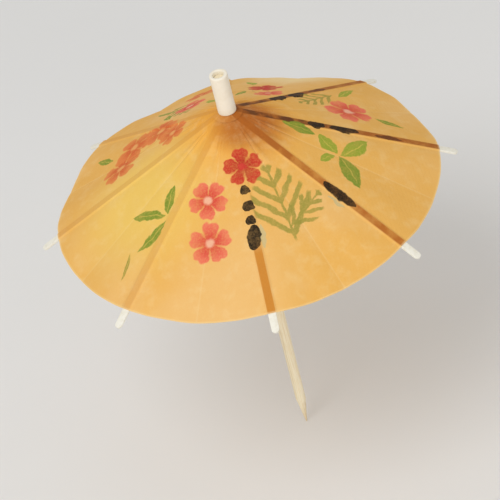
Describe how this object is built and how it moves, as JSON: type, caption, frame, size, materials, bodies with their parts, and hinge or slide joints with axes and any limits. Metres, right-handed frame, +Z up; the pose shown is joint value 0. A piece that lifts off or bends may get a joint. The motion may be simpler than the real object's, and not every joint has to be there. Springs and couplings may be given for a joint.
{
  "type": "cocktail umbrella pick",
  "caption": "Paper parasol on a pointed wooden pick: printed canopy over hinged ribs, propped by stretchers from a sliding runner that opens and folds it.",
  "frame": {"origin": "tip of the pick, on the stick's axis", "axes": "+Z up the stick from its point to the tube on top; rib_1 lies over +X"},
  "size_m": [0.0928, 0.0928, 0.1],
  "materials": {
    "pick_wood": "raw sanded",
    "white_plastic": "satin",
    "white_board": "uncoated board",
    "canopy_paper": "thin printed paper",
    "newsprint": "rolled newsprint",
    "clear_plastic": "milky"
  },
  "bodies": {
    "stick": {"stick": "pick_wood", "finial": "white_plastic", "rib_hub": "white_board", "canopy_centre": "canopy_paper"},
    "runner": {"runner_collar": "white_board", "paper_sleeve": "newsprint"},
    "ring": {"retaining_ring": "clear_plastic"},
    "rib_1": {"rib_1": "white_board", "rib_tab_1": "white_board"},
    "stretcher_1": {"stretcher_1": "white_board"},
    "leaf_1_left": {"leaf_1_left": "canopy_paper"},
    "leaf_1_right": {"leaf_1_right": "canopy_paper"},
    "rib_2": {"rib_2": "white_board", "rib_tab_2": "white_board"},
    "stretcher_2": {"stretcher_2": "white_board"},
    "leaf_2_left": {"leaf_2_left": "canopy_paper"},
    "leaf_2_right": {"leaf_2_right": "canopy_paper"},
    "rib_3": {"rib_3": "white_board", "rib_tab_3": "white_board"},
    "stretcher_3": {"stretcher_3": "white_board"},
    "leaf_3_left": {"leaf_3_left": "canopy_paper"},
    "leaf_3_right": {"leaf_3_right": "canopy_paper"},
    "rib_4": {"rib_4": "white_board", "rib_tab_4": "white_board"},
    "stretcher_4": {"stretcher_4": "white_board"},
    "leaf_4_left": {"leaf_4_left": "canopy_paper"},
    "leaf_4_right": {"leaf_4_right": "canopy_paper"},
    "rib_5": {"rib_5": "white_board", "rib_tab_5": "white_board"},
    "stretcher_5": {"stretcher_5": "white_board"},
    "leaf_5_left": {"leaf_5_left": "canopy_paper"},
    "leaf_5_right": {"leaf_5_right": "canopy_paper"},
    "rib_6": {"rib_6": "white_board", "rib_tab_6": "white_board"},
    "stretcher_6": {"stretcher_6": "white_board"},
    "leaf_6_left": {"leaf_6_left": "canopy_paper"},
    "leaf_6_right": {"leaf_6_right": "canopy_paper"},
    "rib_7": {"rib_7": "white_board", "rib_tab_7": "white_board"},
    "stretcher_7": {"stretcher_7": "white_board"},
    "leaf_7_left": {"leaf_7_left": "canopy_paper"},
    "leaf_7_right": {"leaf_7_right": "canopy_paper"},
    "rib_8": {"rib_8": "white_board", "rib_tab_8": "white_board"},
    "stretcher_8": {"stretcher_8": "white_board"},
    "leaf_8_left": {"leaf_8_left": "canopy_paper"},
    "leaf_8_right": {"leaf_8_right": "canopy_paper"}
  },
  "joints": [
    {"name": "runner_slide", "type": "slide", "parent": "stick", "child": "runner", "axis": [0, 0, -1], "range_m": [0, 0.01767]},
    {"name": "ring_slide", "type": "slide", "parent": "runner", "child": "ring", "axis": [0, 0, -1], "range_m": [0, 0.009]},
    {"name": "rib_1_hinge", "type": "hinge", "parent": "stick", "child": "rib_1", "pos_m": [0.00273, 0, 0.08887], "axis": [0, 1, 0], "range_deg": [0, 56.2]},
    {"name": "stretcher_1_hinge", "type": "hinge", "parent": "rib_1", "child": "stretcher_1", "pos_m": [0.01825, 0, 0.07973], "axis": [0, -1, 0], "range_deg": [0, 112.4]},
    {"name": "leaf_1_left_crease", "type": "hinge", "parent": "rib_1", "child": "leaf_1_left", "pos_m": [0.03836, 0, 0.07016], "axis": [0.8729, -0.0182, -0.4875], "range_deg": [0, 69.19], "deforming": ["leaf_1_left"]},
    {"name": "leaf_1_right_crease", "type": "hinge", "parent": "rib_1", "child": "leaf_1_right", "pos_m": [0.03836, 0, 0.07016], "axis": [-0.8729, -0.0182, 0.4875], "range_deg": [0, 69.19], "deforming": ["leaf_1_right"]},
    {"name": "rib_2_hinge", "type": "hinge", "parent": "stick", "child": "rib_2", "pos_m": [0.00193, 0.00193, 0.08887], "axis": [-0.7071, 0.7071, 0], "range_deg": [0, 56.2]},
    {"name": "stretcher_2_hinge", "type": "hinge", "parent": "rib_2", "child": "stretcher_2", "pos_m": [0.0129, 0.0129, 0.07973], "axis": [0.7071, -0.7071, 0], "range_deg": [0, 112.4]},
    {"name": "leaf_2_left_crease", "type": "hinge", "parent": "rib_2", "child": "leaf_2_left", "pos_m": [0.02712, 0.02712, 0.07016], "axis": [0.6301, 0.6044, -0.4875], "range_deg": [0, 69.19], "deforming": ["leaf_2_left"]},
    {"name": "leaf_2_right_crease", "type": "hinge", "parent": "rib_2", "child": "leaf_2_right", "pos_m": [0.02712, 0.02712, 0.07016], "axis": [-0.6044, -0.6301, 0.4875], "range_deg": [0, 69.19], "deforming": ["leaf_2_right"]},
    {"name": "rib_3_hinge", "type": "hinge", "parent": "stick", "child": "rib_3", "pos_m": [0, 0.00273, 0.08887], "axis": [-1, 0, 0], "range_deg": [0, 56.2]},
    {"name": "stretcher_3_hinge", "type": "hinge", "parent": "rib_3", "child": "stretcher_3", "pos_m": [0, 0.01825, 0.07973], "axis": [1, 0, 0], "range_deg": [0, 112.4]},
    {"name": "leaf_3_left_crease", "type": "hinge", "parent": "rib_3", "child": "leaf_3_left", "pos_m": [0, 0.03836, 0.07016], "axis": [0.0182, 0.8729, -0.4875], "range_deg": [0, 69.19], "deforming": ["leaf_3_left"]},
    {"name": "leaf_3_right_crease", "type": "hinge", "parent": "rib_3", "child": "leaf_3_right", "pos_m": [0, 0.03836, 0.07016], "axis": [0.0182, -0.8729, 0.4875], "range_deg": [0, 69.19], "deforming": ["leaf_3_right"]},
    {"name": "rib_4_hinge", "type": "hinge", "parent": "stick", "child": "rib_4", "pos_m": [-0.00193, 0.00193, 0.08887], "axis": [-0.7071, -0.7071, 0], "range_deg": [0, 56.2]},
    {"name": "stretcher_4_hinge", "type": "hinge", "parent": "rib_4", "child": "stretcher_4", "pos_m": [-0.0129, 0.0129, 0.07973], "axis": [0.7071, 0.7071, 0], "range_deg": [0, 112.4]},
    {"name": "leaf_4_left_crease", "type": "hinge", "parent": "rib_4", "child": "leaf_4_left", "pos_m": [-0.02712, 0.02712, 0.07016], "axis": [-0.6044, 0.6301, -0.4875], "range_deg": [0, 69.19], "deforming": ["leaf_4_left"]},
    {"name": "leaf_4_right_crease", "type": "hinge", "parent": "rib_4", "child": "leaf_4_right", "pos_m": [-0.02712, 0.02712, 0.07016], "axis": [0.6301, -0.6044, 0.4875], "range_deg": [0, 69.19], "deforming": ["leaf_4_right"]},
    {"name": "rib_5_hinge", "type": "hinge", "parent": "stick", "child": "rib_5", "pos_m": [-0.00273, 0, 0.08887], "axis": [0, -1, 0], "range_deg": [0, 56.2]},
    {"name": "stretcher_5_hinge", "type": "hinge", "parent": "rib_5", "child": "stretcher_5", "pos_m": [-0.01825, 0, 0.07973], "axis": [0, 1, 0], "range_deg": [0, 112.4]},
    {"name": "leaf_5_left_crease", "type": "hinge", "parent": "rib_5", "child": "leaf_5_left", "pos_m": [-0.03836, 0, 0.07016], "axis": [-0.8729, 0.0182, -0.4875], "range_deg": [0, 69.19], "deforming": ["leaf_5_left"]},
    {"name": "leaf_5_right_crease", "type": "hinge", "parent": "rib_5", "child": "leaf_5_right", "pos_m": [-0.03836, 0, 0.07016], "axis": [0.8729, 0.0182, 0.4875], "range_deg": [0, 69.19], "deforming": ["leaf_5_right"]},
    {"name": "rib_6_hinge", "type": "hinge", "parent": "stick", "child": "rib_6", "pos_m": [-0.00193, -0.00193, 0.08887], "axis": [0.7071, -0.7071, 0], "range_deg": [0, 56.2]},
    {"name": "stretcher_6_hinge", "type": "hinge", "parent": "rib_6", "child": "stretcher_6", "pos_m": [-0.0129, -0.0129, 0.07973], "axis": [-0.7071, 0.7071, 0], "range_deg": [0, 112.4]},
    {"name": "leaf_6_left_crease", "type": "hinge", "parent": "rib_6", "child": "leaf_6_left", "pos_m": [-0.02712, -0.02712, 0.07016], "axis": [-0.6301, -0.6044, -0.4875], "range_deg": [0, 69.19], "deforming": ["leaf_6_left"]},
    {"name": "leaf_6_right_crease", "type": "hinge", "parent": "rib_6", "child": "leaf_6_right", "pos_m": [-0.02712, -0.02712, 0.07016], "axis": [0.6044, 0.6301, 0.4875], "range_deg": [0, 69.19], "deforming": ["leaf_6_right"]},
    {"name": "rib_7_hinge", "type": "hinge", "parent": "stick", "child": "rib_7", "pos_m": [0, -0.00273, 0.08887], "axis": [1, 0, 0], "range_deg": [0, 56.2]},
    {"name": "stretcher_7_hinge", "type": "hinge", "parent": "rib_7", "child": "stretcher_7", "pos_m": [0, -0.01825, 0.07973], "axis": [-1, 0, 0], "range_deg": [0, 112.4]},
    {"name": "leaf_7_left_crease", "type": "hinge", "parent": "rib_7", "child": "leaf_7_left", "pos_m": [0, -0.03836, 0.07016], "axis": [-0.0182, -0.8729, -0.4875], "range_deg": [0, 69.19], "deforming": ["leaf_7_left"]},
    {"name": "leaf_7_right_crease", "type": "hinge", "parent": "rib_7", "child": "leaf_7_right", "pos_m": [0, -0.03836, 0.07016], "axis": [-0.0182, 0.8729, 0.4875], "range_deg": [0, 69.19], "deforming": ["leaf_7_right"]},
    {"name": "rib_8_hinge", "type": "hinge", "parent": "stick", "child": "rib_8", "pos_m": [0.00193, -0.00193, 0.08887], "axis": [0.7071, 0.7071, 0], "range_deg": [0, 56.2]},
    {"name": "stretcher_8_hinge", "type": "hinge", "parent": "rib_8", "child": "stretcher_8", "pos_m": [0.0129, -0.0129, 0.07973], "axis": [-0.7071, -0.7071, 0], "range_deg": [0, 112.4]},
    {"name": "leaf_8_left_crease", "type": "hinge", "parent": "rib_8", "child": "leaf_8_left", "pos_m": [0.02712, -0.02712, 0.07016], "axis": [0.6044, -0.6301, -0.4875], "range_deg": [0, 69.19], "deforming": ["leaf_8_left"]},
    {"name": "leaf_8_right_crease", "type": "hinge", "parent": "rib_8", "child": "leaf_8_right", "pos_m": [0.02712, -0.02712, 0.07016], "axis": [-0.6301, 0.6044, 0.4875], "range_deg": [0, 69.19], "deforming": ["leaf_8_right"]}
  ],
  "couplings": [
    {"joint": "rib_1_hinge", "follows": "runner_slide", "rad_per_m": 55.313},
    {"joint": "stretcher_1_hinge", "follows": "runner_slide", "rad_per_m": 110.63},
    {"joint": "leaf_1_left_crease", "follows": "runner_slide", "rad_per_m": 68.046},
    {"joint": "leaf_1_right_crease", "follows": "runner_slide", "rad_per_m": 68.046},
    {"joint": "rib_2_hinge", "follows": "runner_slide", "rad_per_m": 55.313},
    {"joint": "stretcher_2_hinge", "follows": "runner_slide", "rad_per_m": 110.63},
    {"joint": "leaf_2_left_crease", "follows": "runner_slide", "rad_per_m": 68.046},
    {"joint": "leaf_2_right_crease", "follows": "runner_slide", "rad_per_m": 68.046},
    {"joint": "rib_3_hinge", "follows": "runner_slide", "rad_per_m": 55.313},
    {"joint": "stretcher_3_hinge", "follows": "runner_slide", "rad_per_m": 110.63},
    {"joint": "leaf_3_left_crease", "follows": "runner_slide", "rad_per_m": 68.046},
    {"joint": "leaf_3_right_crease", "follows": "runner_slide", "rad_per_m": 68.046},
    {"joint": "rib_4_hinge", "follows": "runner_slide", "rad_per_m": 55.313},
    {"joint": "stretcher_4_hinge", "follows": "runner_slide", "rad_per_m": 110.63},
    {"joint": "leaf_4_left_crease", "follows": "runner_slide", "rad_per_m": 68.046},
    {"joint": "leaf_4_right_crease", "follows": "runner_slide", "rad_per_m": 68.046},
    {"joint": "rib_5_hinge", "follows": "runner_slide", "rad_per_m": 55.313},
    {"joint": "stretcher_5_hinge", "follows": "runner_slide", "rad_per_m": 110.63},
    {"joint": "leaf_5_left_crease", "follows": "runner_slide", "rad_per_m": 68.046},
    {"joint": "leaf_5_right_crease", "follows": "runner_slide", "rad_per_m": 68.046},
    {"joint": "rib_6_hinge", "follows": "runner_slide", "rad_per_m": 55.313},
    {"joint": "stretcher_6_hinge", "follows": "runner_slide", "rad_per_m": 110.63},
    {"joint": "leaf_6_left_crease", "follows": "runner_slide", "rad_per_m": 68.046},
    {"joint": "leaf_6_right_crease", "follows": "runner_slide", "rad_per_m": 68.046},
    {"joint": "rib_7_hinge", "follows": "runner_slide", "rad_per_m": 55.313},
    {"joint": "stretcher_7_hinge", "follows": "runner_slide", "rad_per_m": 110.63},
    {"joint": "leaf_7_left_crease", "follows": "runner_slide", "rad_per_m": 68.046},
    {"joint": "leaf_7_right_crease", "follows": "runner_slide", "rad_per_m": 68.046},
    {"joint": "rib_8_hinge", "follows": "runner_slide", "rad_per_m": 55.313},
    {"joint": "stretcher_8_hinge", "follows": "runner_slide", "rad_per_m": 110.63},
    {"joint": "leaf_8_left_crease", "follows": "runner_slide", "rad_per_m": 68.046},
    {"joint": "leaf_8_right_crease", "follows": "runner_slide", "rad_per_m": 68.046}
  ]
}
